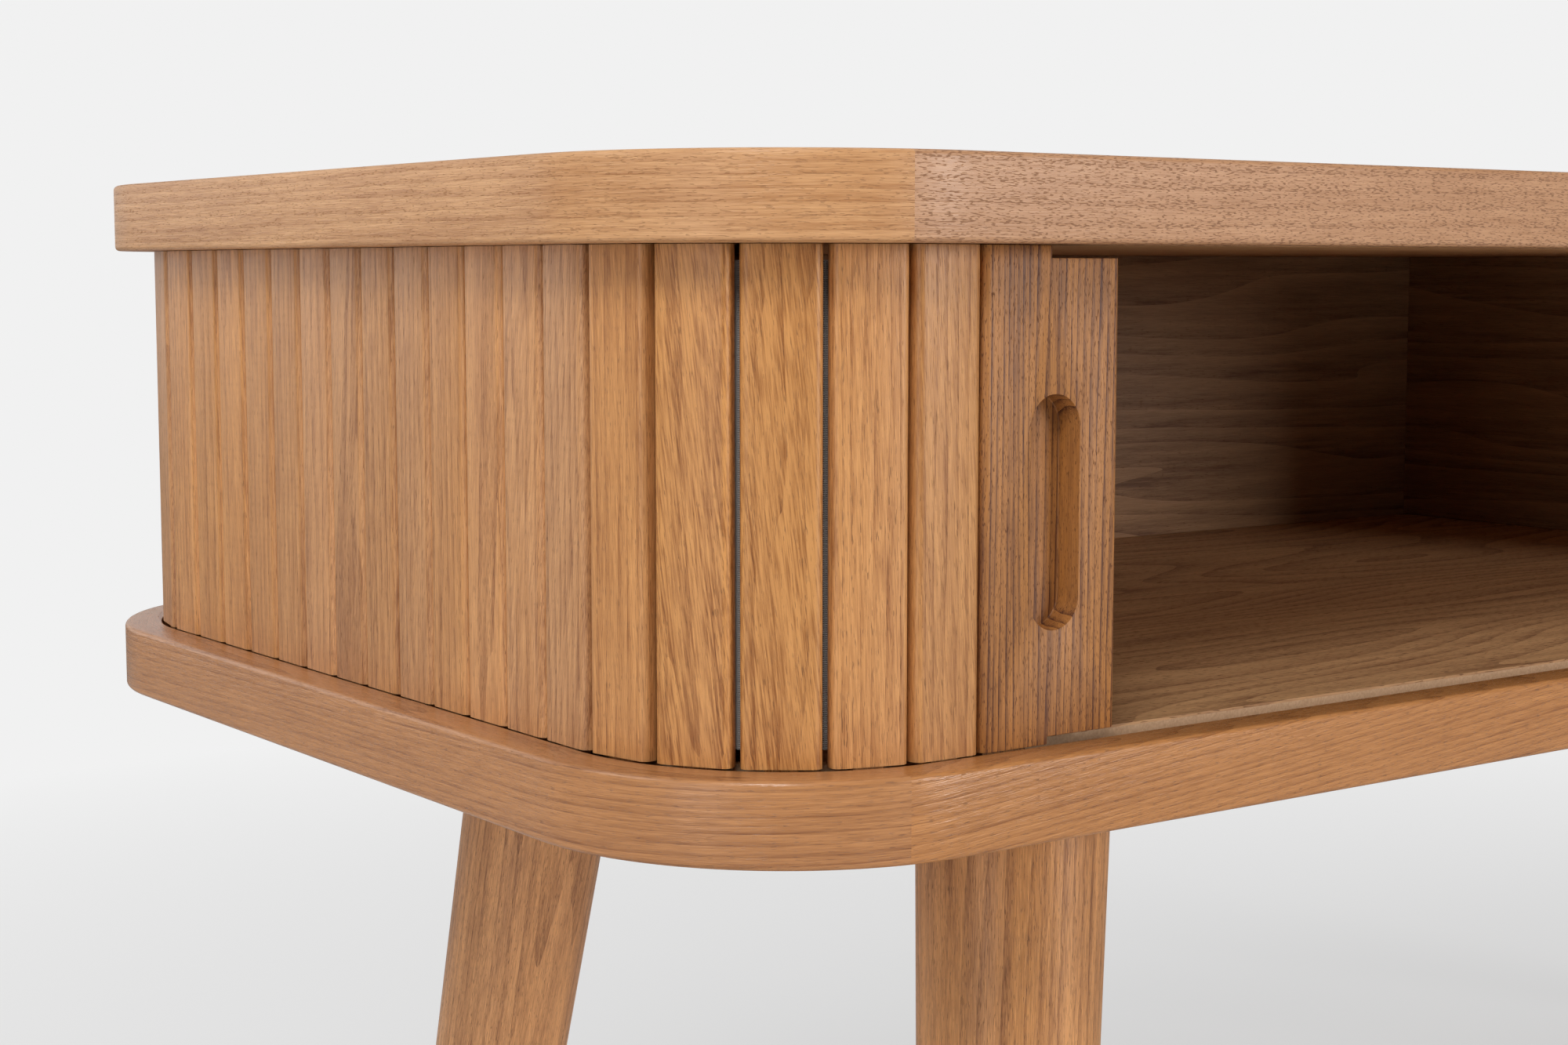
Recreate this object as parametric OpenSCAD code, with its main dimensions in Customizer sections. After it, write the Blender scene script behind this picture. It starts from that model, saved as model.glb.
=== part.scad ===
// Bedside cabinet with a tambour door: a low round-cornered cabinet on four splayed legs.
// The front looks along -Y and +X is to the right. The origin is on the floor, under the middle.
// Slats run in a groove round both panels. Those on the left are the door, glued to a canvas and
// drawn back round the corner here, and those on the right are fixed, beside an open niche.

/* [Cabinet] */
// Width over the panels
width = 1130; // [1080:1:1200]
// Depth over the panels
depth = 350; // [320:1:400]
// Height from the floor to the top
height = 450; // [380:1:600]
// Clear height between the two panels
clear_h = 107.2; // [90:0.1:180]
// Thickness of the top and bottom panels
board_t = 18.4; // [16:0.1:25]
// Corner radius of the panels in plan
corner_r = 64; // [60:0.5:70]
// Width of the solid edging round each panel, up to the groove
edge_w = 10.3; // [8:0.1:12]
// Rounding of the edging's outer arrises
arris_r = 1.2; // [0.5:0.1:3]
// Angle round each corner at which side edging meets front or back edging
seam_angle = 77.8; // [45:0.1:85]

/* [Groove] */
// Width of the groove that guides the slats
groove_w = 9.5; // [9:0.1:12]
// Depth of the groove
groove_depth = 6; // [4:0.1:9]

/* [Slats] */
// Distance from one slat to the next along the canvas
slat_pitch = 17.3; // [16.8:0.1:18]
// Gap between two slats at the canvas
slat_gap = 0.5; // [0.3:0.1:1]
// Thickness of a slat
slat_t = 5; // [4:0.1:6]
// Distance from the groove's near wall back to the slats' faces
face_set = 0.1; // [0:0.1:1.2]
// Easing of a slat's front edges
slat_ease = 1.9; // [0.5:0.1:2]
// Gap between the slats' shoulders and the panels
shoulder_gap = 0.15; // [0.1:0.05:1]
// Width of the tongue at each end of a slat
tongue_w = 7; // [5:0.1:9]
// Thickness of a tongue
tongue_t = 3.2; // [2.5:0.1:4]
// Distance from a slat's back to its tongue
tongue_set = 0.4; // [0.3:0.1:0.8]
// Gap under the lower tongues in the groove
tongue_rest = 0.3; // [0.1:0.1:1]
// Gap over the upper tongues, which lets the door be lifted in
tongue_lift = 2; // [1:0.1:3]

/* [Canvas] */
// Thickness of the canvas behind the slats
canvas_t = 0.6; // [0.4:0.1:1]
// Distance from each panel to the canvas's edge
canvas_short = 3.4; // [2:0.1:8]

/* [Lead slat] */
// Width of the lead slat
lead_w = 38; // [34:0.5:45]
// Thickness of the lead slat
lead_t = 12; // [11:0.1:14]
// Width of the thin heel where the canvas is glued
lead_heel = 12; // [9:0.1:12.5]
// Width of the full-height part, which runs in the groove
lead_shoulder = 18.4; // [14:0.1:24]
// Gap under the notched part
lead_gap_low = 1.9; // [1:0.1:4]
// Gap over the notched part
lead_gap_high = 2.9; // [1:0.1:4]
// Easing of the lead slat's closing edge
lead_ease = 1.2; // [0.5:0.1:3]
// Width of the lead slat's two tongues
lead_tongue_w = 12; // [8:0.1:13.5]

/* [Finger grip] */
// Width of the finger grip
grip_w = 13.9; // [12:0.1:14]
// Length of the finger grip
grip_h = 50.6; // [40:0.1:70]
// Depth of the finger grip
grip_depth = 6.7; // [5:0.1:8]
// Distance from the lead slat's canvas edge to the middle of the grip
grip_x = 19.9; // [19.2:0.1:22]
// Height of the grip's middle over the bottom panel
grip_z = 50.2; // [45:0.1:55]

/* [Battens] */
// Width of the batten that the closed door meets, and of the one where the fixed slats begin
batten_w = 15; // [10:0.5:20]

/* [Inner walls] */
// Thickness of the inner walls
wall_t = 12; // [9:0.5:15]
// Distance from the panels' edge to the inner walls
wall_inset = 34; // [32.5:0.5:40]
// Thickness of the wall between the compartment and the niche
middle_t = 15; // [12:0.5:19]

/* [Legs] */
// Distance from the panels' left or right edge to the middle of a leg's top
leg_x = 134.9; // [110:0.1:160]
// Distance from the panels' front or back edge to the middle of a leg's top
leg_y = 66.9; // [60:0.1:90]
// Diameter of a leg at its top
leg_top_d = 48; // [40:0.5:55]
// Diameter of a leg at its foot
leg_foot_d = 32; // [28:0.5:38]
// Outward lean of the legs, towards the corners
splay = 9.05; // [5:0.05:10]

/* [Fittings] */
// Diameter of the bolt that holds each leg
bolt_d = 8; // [6:0.5:10]
// Clearance round a bolt
bolt_clear = 0.1; // [0.05:0.05:0.3]
// Length of a bolt inside the bottom panel
bolt_in_panel = 11; // [8:0.5:13]
// Length of a bolt inside the leg
bolt_in_leg = 30; // [20:1:45]
// Room left at each end of a bolt's holes
bolt_end_gap = 0.3; // [0.1:0.1:0.6]
// Diameter of the glide under each foot
glide_d = 26; // [18:0.5:27]
// Height of a glide
glide_h = 3; // [2:0.5:6]

/* [Hidden] */
$fn = 96;

left = -width / 2;
front = -depth / 2;
ceiling_z = height - board_t;
floor_z = ceiling_z - clear_h;
underside_z = floor_z - board_t;

// The hinge line runs along the slats' backs, where the canvas bends
hinge_inset = edge_w + face_set + slat_t;
hinge_r = corner_r - hinge_inset;
hinge_arc = hinge_r * PI / 2;
side_run = depth - 2 * corner_r;
slat_w = slat_pitch - slat_gap;
// Where the door stands open, its first hinge is this far past the left front corner
first_hinge = 12.35;
// Thickness of the glue between slats and canvas
glue_t = 0.02;
// Gap between the canvas of a corner and that of a straight, which lets their thickness turn
canvas_seam = 0.3;
// Slats of the front left corner that have their own motion, and as many at the back left corner
corner_slats = 8;

// A point of the hinge line, s along it from the left end of the front's straight:
// positive to the right, negative round the corner, back along the side and on along the back
function hinge_point(s) =
    let(a = -s / hinge_arc * 90, b = (-s - hinge_arc - side_run) / hinge_arc * 90,
        c = corner_r + s + 2 * hinge_arc + side_run)
    s >= 0 ? [left + corner_r + s, front + hinge_inset] :
    a <= 90 ? [left + corner_r - hinge_r * sin(a), front + corner_r - hinge_r * cos(a)] :
    b <= 0 ? [left + hinge_inset, front + corner_r - s - hinge_arc] :
    b <= 90 ? [left + corner_r - hinge_r * cos(b), -front - corner_r + hinge_r * sin(b)] :
    [left + 2 * corner_r - c, -front - hinge_inset];

// The place one slat further back than s, found by halving the stretch from a to b
function next_hinge(s, a, b, halvings = 40) =
    let(middle = (a + b) / 2)
    halvings == 0 ? middle :
    norm(hinge_point(middle) - hinge_point(s)) > slat_pitch
        ? next_hinge(s, middle, b, halvings - 1)
        : next_hinge(s, a, middle, halvings - 1);
function chain(s, count) =
    count == 0 ? [s] : concat([s], chain(next_hinge(s, s - 1.5 * slat_pitch, s - 0.5 * slat_pitch), count - 1));

// The open door's way to the strike batten, and the slats that still cover the left side then
first_x = corner_r + first_hinge;
closing_way = (width - batten_w) / 2 - first_x - slat_gap / 2 - lead_w;
door_slats = floor((first_hinge + 2 * hinge_arc + side_run + closing_way) / slat_pitch);
places = chain(first_hinge, door_slats);
hinges = [for (s = places) hinge_point(s)];
// The last slat of the side has its canvas edge still before the back corner, or on its very start
side_last = len([for (s = places) if (s > -hinge_arc - side_run - slat_pitch / 8) s]) - 1;
back_first = side_last + corner_slats + 1;
// Fixed slats mirror the door's, and stop just past the right back corner
fixed_last = back_first;

// Colours of the timber, the boards and the fittings
ash = "#c08a52";
ash_dark = "#a9733f";
veneer = "#b9824c";
linen = "#b5aea4";
steel = "#8b8d90";
felt = "#55504a";

// A rectangle with round corners, inset from the panels' outline
module outline(inset) {
    r = corner_r - inset;
    square([width - 2 * corner_r, depth - 2 * inset], center = true);
    square([width - 2 * inset, depth - 2 * corner_r], center = true);
    for (x = [-1, 1], y = [-1, 1])
        translate([x * (width / 2 - corner_r), y * (depth / 2 - corner_r)])
            circle(r);
}

// A veneered board with a rebate round it, which the edging closes into the groove, groove up
module core() {
    translate([0, 0, -board_t])
        linear_extrude(board_t - groove_depth)
            outline(edge_w);
    translate([0, 0, -groove_depth])
        linear_extrude(groove_depth)
            outline(edge_w + groove_w);
}

// Section of the edging, with its outer face at x = 0 and its body towards -x
module edge_section() {
    translate([-edge_w, 0])
        square([edge_w - arris_r, board_t]);
    translate([-arris_r, arris_r])
        square([arris_r, board_t - 2 * arris_r]);
    for (y = [arris_r, board_t - arris_r])
        intersection() {
            translate([-arris_r, y])
                circle(arris_r);
            translate([-arris_r, 0])
                square([arris_r, board_t]);
        }
}

// Edging round a corner, counted anticlockwise from one side's end
module edge_bend(x, y, from, angle) {
    translate([x * (width / 2 - corner_r), y * (depth / 2 - corner_r), 0])
        rotate(from)
            rotate_extrude(angle = angle)
                translate([corner_r, 0])
                    edge_section();
}

// Edging of the front, which ends a little way round both corners
module edge_front() {
    for (side = [0, 1])
        mirror([side, 0, 0]) {
            translate([0, front, 0])
                rotate([90, 0, 90])
                    linear_extrude(width / 2 - corner_r)
                        mirror([1, 0])
                            edge_section();
            edge_bend(1, -1, 270, 90 - seam_angle);
        }
}

// Edging of the left side, which goes most of the way round both corners
module edge_left() {
    for (end = [0, 1])
        mirror([0, end, 0]) {
            translate([left, 0, 0])
                rotate([90, 0, 0])
                    linear_extrude(side_run / 2)
                        mirror([1, 0])
                            edge_section();
            edge_bend(-1, -1, 180, seam_angle);
        }
}

module at_top() {
    translate([0, 0, ceiling_z])
        children();
}

module at_bottom() {
    translate([0, 0, underside_z])
        children();
}

module top_core() {
    color(veneer)
        translate([0, 0, ceiling_z])
            mirror([0, 0, 1])
                core();
}

module bottom_core() {
    color(veneer)
        difference() {
            translate([0, 0, floor_z])
                core();
            for (x = [0, 1], y = [0, 1])
                mirror([x, 0, 0])
                    mirror([0, y, 0])
                        leg_hole();
        }
}

// The upright walls of the compartment and the niche, between the panels
module inner_wall(x, y, w, d) {
    color(veneer)
        translate([x, y, floor_z])
            cube([w, d, clear_h]);
}

module inner_wall_left() {
    inner_wall(left + wall_inset, front + wall_inset, wall_t, depth - 2 * wall_inset - wall_t);
}

module inner_wall_right() {
    mirror([1, 0, 0])
        inner_wall_left();
}

module inner_wall_back() {
    inner_wall(left + wall_inset, depth / 2 - wall_inset - wall_t, width - 2 * wall_inset, wall_t);
}

// The wall from the strike batten to the back
module middle_wall() {
    start = front + hinge_inset - slat_t + lead_t;
    inner_wall(-middle_t / 2, start, middle_t, depth / 2 - wall_inset - wall_t - start);
}

// Puts what is drawn at the origin under a leg's top, with the panel's underside at z = 0
module at_leg() {
    translate([left + leg_x, front + leg_y, underside_z])
        children();
}

// Hole for a leg's bolt, in the panel and in the leg
module leg_hole() {
    at_leg()
        translate([0, 0, -bolt_in_leg - bolt_end_gap])
            cylinder(h = bolt_in_panel + bolt_in_leg + 2 * bolt_end_gap, d = bolt_d + 2 * bolt_clear);
}

// A tapered leg, cut level under the panel and over its glide
module leg() {
    drop = underside_z;
    run = drop / cos(splay);
    spare = leg_top_d / 2;
    taper = (leg_top_d - leg_foot_d) / run;
    color(ash)
        difference() {
            intersection() {
                at_leg()
                    rotate([0, splay, 45])
                        translate([0, 0, -run - spare])
                            cylinder(h = run + 2 * spare, d1 = leg_foot_d - taper * spare,
                                d2 = leg_top_d + taper * spare);
                translate([left, front, glide_h])
                    cube([width / 2, depth / 2, drop - glide_h]);
            }
            leg_hole();
        }
}

module bolt() {
    color(steel)
        at_leg()
            translate([0, 0, -bolt_in_leg])
                cylinder(h = bolt_in_panel + bolt_in_leg, d = bolt_d);
}

// A round felt glide under the middle of a foot
module glide() {
    out = tan(splay) * sin(45) * (underside_z - glide_h);
    color(felt)
        translate([left + leg_x - out, front + leg_y - out, 0])
            cylinder(h = glide_h, d = glide_d);
}

// Puts what is drawn along x, with its outer face towards -y, on the door's slat i
module on_slat(i) {
    a = hinges[i - 1];
    b = hinges[i];
    translate([(a.x + b.x) / 2, (a.y + b.y) / 2, 0])
        rotate(atan2(a.y - b.y, a.x - b.x))
            children();
}

// The tongues are the ends of one strip up through the slat's middle
module tongues(w) {
    low = floor_z - groove_depth + tongue_rest;
    high = ceiling_z + groove_depth - tongue_lift;
    translate([-w / 2, -tongue_set - tongue_t, low])
        cube([w, tongue_t, high - low]);
}

// A slat with eased front edges, its back at y = 0
module slat() {
    half = slat_w / 2;
    translate([0, 0, floor_z + shoulder_gap])
        linear_extrude(clear_h - 2 * shoulder_gap)
            polygon([
                [-half, 0], [half, 0], [half, slat_ease - slat_t], [half - slat_ease, -slat_t],
                [slat_ease - half, -slat_t], [-half, slat_ease - slat_t]
            ]);
    tongues(tongue_w);
}

// Slats numbered from one to another, counted from the lead slat
module slats(first, last) {
    for (i = [first:last])
        color(i % 2 == 0 ? ash : ash_dark)
            on_slat(i)
                slat();
}

// The direction from a slat's back into the cabinet
function inward(i) =
    let(run = hinges[i - 1] - hinges[i])
    [-run.y, run.x] / norm(run);
// The mitre of the canvas at hinge i, square to the one slat there at either end of its run
function mitre(i, first, last) =
    let(a = inward(max(i, first)), b = inward(min(i + 1, last)))
    (a + b) / (1 + a * b);
// The canvas's hinge i, a seam short of it at either end of the run
function fold(i, first, last, seam) =
    i < first ? hinges[i] + seam / slat_pitch * (hinges[i + 1] - hinges[i]) :
    i == last ? hinges[i] + seam / slat_pitch * (hinges[i - 1] - hinges[i]) :
    hinges[i];

// The canvas behind a run of slats, flat behind each one as its glue holds it
module canvas(first, last, seam = 0) {
    color(linen)
        translate([0, 0, floor_z + canvas_short])
            linear_extrude(clear_h - 2 * canvas_short)
                polygon([
                    for (i = [first - 1:last])
                        fold(i, first, last, seam) + glue_t * mitre(i, first, last),
                    for (i = [last:-1:first - 1])
                        fold(i, first, last, seam) + (glue_t + canvas_t) * mitre(i, first, last)
                ]);
}

// The edge of the lead slat that the canvas reaches, at the first hinge
module at_lead() {
    translate([left + first_x + slat_gap / 2, front + hinge_inset, 0])
        children();
}

// A round-ended recess, cut from the face inwards
module grip() {
    reach = (grip_h - grip_w) / 2;
    translate([grip_x, -slat_t + grip_depth, floor_z + grip_z]) {
        for (z = [-reach, reach])
            translate([0, 0, z])
                rotate([90, 0, 0])
                    cylinder(h = grip_depth + arris_r, d = grip_w);
        translate([-grip_w / 2, -grip_depth - arris_r, -reach])
            cube([grip_w, grip_depth + arris_r, 2 * reach]);
    }
}

// The lead slat: a thin heel for the canvas, then a thick stile, notched clear of both panels
module lead_slat() {
    low = floor_z + shoulder_gap;
    notch_low = floor_z + lead_gap_low;
    back = lead_t - slat_t;
    color(ash_dark)
        at_lead()
            difference() {
                union() {
                    intersection() {
                        translate([0, 0, low])
                            linear_extrude(clear_h - 2 * shoulder_gap)
                                polygon([
                                    [0, 0], [0, slat_ease - slat_t], [slat_ease, -slat_t],
                                    [lead_w - lead_ease, -slat_t], [lead_w, lead_ease - slat_t],
                                    [lead_w, back - lead_ease], [lead_w - lead_ease, back],
                                    [lead_heel, back], [lead_heel, 0]
                                ]);
                        union() {
                            translate([0, -slat_t, low])
                                cube([lead_shoulder, lead_t, clear_h - 2 * shoulder_gap]);
                            translate([0, -slat_t, notch_low])
                                cube([lead_w, lead_t, clear_h - lead_gap_low - lead_gap_high]);
                        }
                    }
                    translate([(slat_pitch + lead_heel) / 4, 0, 0])
                        tongues(lead_tongue_w);
                }
                grip();
            }
}

// The canvas's end, glued to the back of the lead slat's heel
module canvas_lead() {
    color(linen)
        translate([left + first_x, front + hinge_inset + glue_t, floor_z + canvas_short])
            cube([lead_heel, canvas_t, clear_h - 2 * canvas_short]);
}

// The fixed slats are the door's own, mirrored to the right and glued in the groove
module fixed_slats(first, last) {
    mirror([1, 0, 0])
        slats(first, last);
}

module fixed_canvas() {
    mirror([1, 0, 0])
        canvas(1, fixed_last);
}

// A batten as thick as the lead slat, with its left side at x
module batten(x) {
    color(ash_dark)
        translate([x, front + hinge_inset - slat_t, floor_z])
            cube([batten_w, lead_t, clear_h]);
}

top_core();
color(ash) at_top() edge_front();  // top_edge_front
color(ash) at_top() mirror([0, 1, 0]) edge_front();  // top_edge_back
color(ash) at_top() edge_left();  // top_edge_left
color(ash) at_top() mirror([1, 0, 0]) edge_left();  // top_edge_right
bottom_core();
color(ash) at_bottom() edge_front();  // bottom_edge_front
color(ash) at_bottom() mirror([0, 1, 0]) edge_front();  // bottom_edge_back
color(ash) at_bottom() edge_left();  // bottom_edge_left
color(ash) at_bottom() mirror([1, 0, 0]) edge_left();  // bottom_edge_right
inner_wall_left();
inner_wall_right();
inner_wall_back();
middle_wall();
leg();  // leg_front_left
mirror([1, 0, 0]) leg();  // leg_front_right
mirror([0, 1, 0]) leg();  // leg_back_left
mirror([1, 0, 0]) mirror([0, 1, 0]) leg();  // leg_back_right
bolt();  // bolt_front_left
mirror([1, 0, 0]) bolt();  // bolt_front_right
mirror([0, 1, 0]) bolt();  // bolt_back_left
mirror([1, 0, 0]) mirror([0, 1, 0]) bolt();  // bolt_back_right
glide();  // glide_front_left
mirror([1, 0, 0]) glide();  // glide_front_right
mirror([0, 1, 0]) glide();  // glide_back_left
mirror([1, 0, 0]) mirror([0, 1, 0]) glide();  // glide_back_right
lead_slat();
slats(1, 1);  // front_corner_slat_1
slats(2, 2);  // front_corner_slat_2
slats(3, 3);  // front_corner_slat_3
slats(4, 4);  // front_corner_slat_4
slats(5, 5);  // front_corner_slat_5
slats(6, 6);  // front_corner_slat_6
slats(7, 7);  // front_corner_slat_7
slats(8, 8);  // front_corner_slat_8
slats(corner_slats + 1, side_last);  // side_slats
slats(side_last + 1, side_last + 1);  // back_corner_slat_1
slats(side_last + 2, side_last + 2);  // back_corner_slat_2
slats(side_last + 3, side_last + 3);  // back_corner_slat_3
slats(side_last + 4, side_last + 4);  // back_corner_slat_4
slats(side_last + 5, side_last + 5);  // back_corner_slat_5
slats(side_last + 6, side_last + 6);  // back_corner_slat_6
slats(side_last + 7, side_last + 7);  // back_corner_slat_7
slats(side_last + 8, side_last + 8);  // back_corner_slat_8
slats(back_first, door_slats);  // back_slats
canvas_lead();
canvas(1, corner_slats, canvas_seam);  // canvas_front_corner
canvas(corner_slats + 1, side_last);  // canvas_side
canvas(side_last + 1, back_first - 1, canvas_seam);  // canvas_back_corner
canvas(back_first, door_slats);  // canvas_back
fixed_slats(1, corner_slats);  // fixed_slats_front
fixed_slats(corner_slats + 1, side_last);  // fixed_slats_side
fixed_slats(side_last + 1, fixed_last);  // fixed_slats_back
fixed_canvas();
batten(-batten_w / 2);  // strike_batten
batten(width / 2 - first_x - slat_gap / 2 - batten_w);  // end_batten
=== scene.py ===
# A low bedside cabinet with a tambour door, in satin lacquered ash, seen close from its front
# left corner.
import math
import bmesh
import bpy
from mathutils import Matrix, Vector


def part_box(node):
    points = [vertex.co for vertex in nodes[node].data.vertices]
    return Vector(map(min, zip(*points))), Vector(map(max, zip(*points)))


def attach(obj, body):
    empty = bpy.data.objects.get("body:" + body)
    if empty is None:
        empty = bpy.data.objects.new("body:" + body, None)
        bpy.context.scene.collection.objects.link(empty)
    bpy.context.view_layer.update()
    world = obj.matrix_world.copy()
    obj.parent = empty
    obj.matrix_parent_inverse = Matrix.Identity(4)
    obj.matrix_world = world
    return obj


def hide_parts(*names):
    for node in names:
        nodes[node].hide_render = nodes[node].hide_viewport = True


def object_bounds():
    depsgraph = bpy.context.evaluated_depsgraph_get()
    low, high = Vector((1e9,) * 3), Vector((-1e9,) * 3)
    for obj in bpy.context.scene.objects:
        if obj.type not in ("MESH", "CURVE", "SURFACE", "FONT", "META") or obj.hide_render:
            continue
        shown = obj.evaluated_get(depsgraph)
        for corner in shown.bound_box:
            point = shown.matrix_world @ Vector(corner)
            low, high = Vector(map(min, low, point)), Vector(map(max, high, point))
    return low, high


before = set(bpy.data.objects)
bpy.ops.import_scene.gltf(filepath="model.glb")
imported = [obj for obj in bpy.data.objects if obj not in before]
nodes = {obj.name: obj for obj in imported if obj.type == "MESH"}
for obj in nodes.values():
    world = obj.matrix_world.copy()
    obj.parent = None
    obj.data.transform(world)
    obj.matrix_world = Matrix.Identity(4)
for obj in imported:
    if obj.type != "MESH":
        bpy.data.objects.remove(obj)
cad_low, cad_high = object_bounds()
MM = 0.001

# ---------------------------------------------------------------- Camera
# A slightly long lens, close to the front left corner and a little under the level of the top,
# so that the cabinet fills the frame and the legs leave it at the bottom. Its place and angles
# were worked out from the lines of the panels, the slats and the legs.
look_down = 5.81
turn_right = 35.84
camera_data = bpy.data.cameras.new("camera")
camera_data.lens = 56.9
camera_data.sensor_width = 36
camera_data.clip_start = 0.02
camera = bpy.data.objects.new("camera", camera_data)
camera.location = (-823.8 * MM, -557.7 * MM, 426.1 * MM)
camera.rotation_euler = (math.radians(90 - look_down), 0, math.radians(-turn_right))
bpy.context.scene.collection.objects.link(camera)
bpy.context.scene.camera = camera
bpy.context.scene.view_settings.view_transform = "Standard"


# ---------------------------------------------------------------- Studio
# A wide white floor with six soft lamps round and over it, the strongest in front, in a white
# surround. Far from the cabinet the floor takes the surround's own white, so that no edge shows.
def linear(colour):
    """The linear colour of an sRGB hex value."""
    parts = [int(colour[i:i + 2], 16) / 255 for i in (1, 3, 5)]
    return (*[p / 12.92 if p <= 0.04045 else ((p + 0.055) / 1.055) ** 2.4 for p in parts], 1)


def add_node(tree, kind, links=None, **settings):
    """One node with its settings; each input takes a value, a socket or a node's first output."""
    node = tree.nodes.new(kind)
    for key, value in settings.items():
        setattr(node, key, value)
    for key, value in (links or {}).items():
        if isinstance(value, bpy.types.Node):
            value = value.outputs[0]
        if isinstance(value, bpy.types.NodeSocket):
            tree.links.new(value, node.inputs[key])
        else:
            node.inputs[key].default_value = value
    return node


def new_material(name):
    """An empty material with its output node."""
    material = bpy.data.materials.new(name)
    material.use_nodes = True
    material.node_tree.nodes.clear()
    output = material.node_tree.nodes.new("ShaderNodeOutputMaterial")
    return material, material.node_tree, output


def new_object(name, vertices, faces):
    """A mesh object from its corners and faces."""
    mesh = bpy.data.meshes.new(name)
    mesh.from_pydata([tuple(v) for v in vertices], [], faces)
    mesh.update()
    made = bpy.data.objects.new(name, mesh)
    bpy.context.scene.collection.objects.link(made)
    return made


studio_white = linear("#f1f1f1")
floor_r = 9.0
floor_steps = 64
floor_rim = [Matrix.Rotation(2 * math.pi * i / floor_steps, 3, "Z") @ Vector((floor_r, 0, 0))
             for i in range(floor_steps)]
ground = new_object("ground", floor_rim, [tuple(range(floor_steps))])
# Matt white paper. Near the cabinet the camera sees it part lit, which keeps the shadow, and part
# glowing, and far away it only glows.
near_r = 0.3
near_glow = 0.53
far_r = 1.5
paper, tree, output = new_material("seamless paper")
diffuse = add_node(tree, "ShaderNodeBsdfDiffuse", {"Color": linear("#e4e4e4")})
glow = add_node(tree, "ShaderNodeEmission", {"Color": studio_white, "Strength": 1.0})
where = add_node(tree, "ShaderNodeTexCoord").outputs["Object"]
reach = add_node(tree, "ShaderNodeVectorMath", {0: where}, operation="LENGTH")
fade = add_node(tree, "ShaderNodeMapRange",
                {"Value": reach.outputs["Value"], "From Min": near_r, "From Max": far_r,
                 "To Min": near_glow})
rays = add_node(tree, "ShaderNodeLightPath").outputs
share = add_node(tree, "ShaderNodeMath", {0: rays["Is Camera Ray"], 1: fade}, operation="MULTIPLY")
mixed = add_node(tree, "ShaderNodeMixShader", {0: share, 1: diffuse, 2: glow})
tree.links.new(mixed.outputs[0], output.inputs[0])
ground.data.materials.append(paper)


def add_lamp(name, place, target, size, power):
    """A square soft lamp of a size in metres and a power in watts that points at a target."""
    data = bpy.data.lights.new(name, "AREA")
    data.shape = "SQUARE"
    data.size = size
    data.energy = power
    lamp = bpy.data.objects.new(name, data)
    lamp.location = place
    lamp.rotation_euler = (Vector(target) - Vector(place)).to_track_quat("-Z", "Y").to_euler()
    bpy.context.scene.collection.objects.link(lamp)


aim = (-0.45, -0.1, 0.38)
add_lamp("key", (1.35, -3.5, 1.12), aim, 1.3, 68)
add_lamp("front left", (-1.95, -1.5, 2.3), aim, 1.0, 38)
add_lamp("side", (-2.3, 0.4, 1.6), aim, 1.2, 13)
add_lamp("low left", (-2.2, -0.8, 0.55), aim, 0.7, 5)
add_lamp("back left", (-1.7, 2.3, 1.0), aim, 1.5, 5)
add_lamp("overhead", (0.1, 0.2, 2.4), (0, 0, 0.4), 1.8, 10)

# The surround: a pale backdrop behind the cabinet, while the studio is dim in front, as its sheen
# shows. To the camera it is plain white, and it gives next to no light itself.
backdrop_way = (-0.35, 0.94, 0)
begins_at = -0.2  # the cosine of the angle from that way where the backdrop begins to show
full_at = 0.8
dim_front = 0.15
pale_back = 0.8
own_light = 0.07
world = bpy.data.worlds.new("surround")
bpy.context.scene.world = world
world.use_nodes = True
tree = world.node_tree
background = tree.nodes["Background"]
background.inputs["Color"].default_value = studio_white
toward = add_node(tree, "ShaderNodeTexCoord").outputs["Generated"]
behind = add_node(tree, "ShaderNodeVectorMath", {0: toward, 1: backdrop_way},
                  operation="DOT_PRODUCT")
backdrop = add_node(tree, "ShaderNodeMapRange",
                    {"Value": behind.outputs["Value"], "From Min": begins_at,
                     "From Max": full_at, "To Min": dim_front, "To Max": pale_back})
rays = add_node(tree, "ShaderNodeLightPath").outputs
sheen = add_node(tree, "ShaderNodeMath", {0: rays["Is Glossy Ray"], 1: backdrop},
                 operation="MULTIPLY")
plain = add_node(tree, "ShaderNodeMath", {0: sheen, 1: own_light}, operation="MAXIMUM")
strength = add_node(tree, "ShaderNodeMath", {0: rays["Is Camera Ray"], 1: plain},
                    operation="MAXIMUM")
tree.links.new(strength.outputs[0], background.inputs["Strength"])


# ---------------------------------------------------------------- Timber
# Ash under satin lacquer. The open pores of the spring wood show as short dark dashes in lines
# along the growth rings, with fine fibres between them and silky streaks where they rise to the
# surface. Every wooden piece carries its own grain lengthwise in the attribute "grain" (metres,
# x along the fibres) and the number of the board that it was cut from in "board", which chooses
# the board's place in the tree, its tone and its saw's angle.
apart_mm = (331.7, 57.3, 83.9)  # from one board's place in the tree to the next one's
first_ring = 500.0  # the rings are counted from here, so that no count is negative
ripple_mm = 0.35  # how far a fine ripple shifts the rings
half_cover = 0.53  # the cover at which about half of the wood would be pores
spring_cover = 0.10  # how much more of it the spring wood has
pore_edge = 22.0  # how sharply a pore begins
middle_tone = 0.4  # the mean depth of tone, where 0 is pale and 1 is deep
ring_middle = 0.3  # the rings' mean, so that deeper rings don't darken the whole
rarity = 4.0  # the higher, the fewer boards have silky streaks
wild_reach = 0.6  # a board this near to the wild one is wild as well
calm_share = 0.2  # how much of the silky streaks a calm board has
least_warmth = 0.92
warmth_range = 0.1
fibre_relief = 1.2  # how high the fibres stand, where a pore is 1 deep
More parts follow.
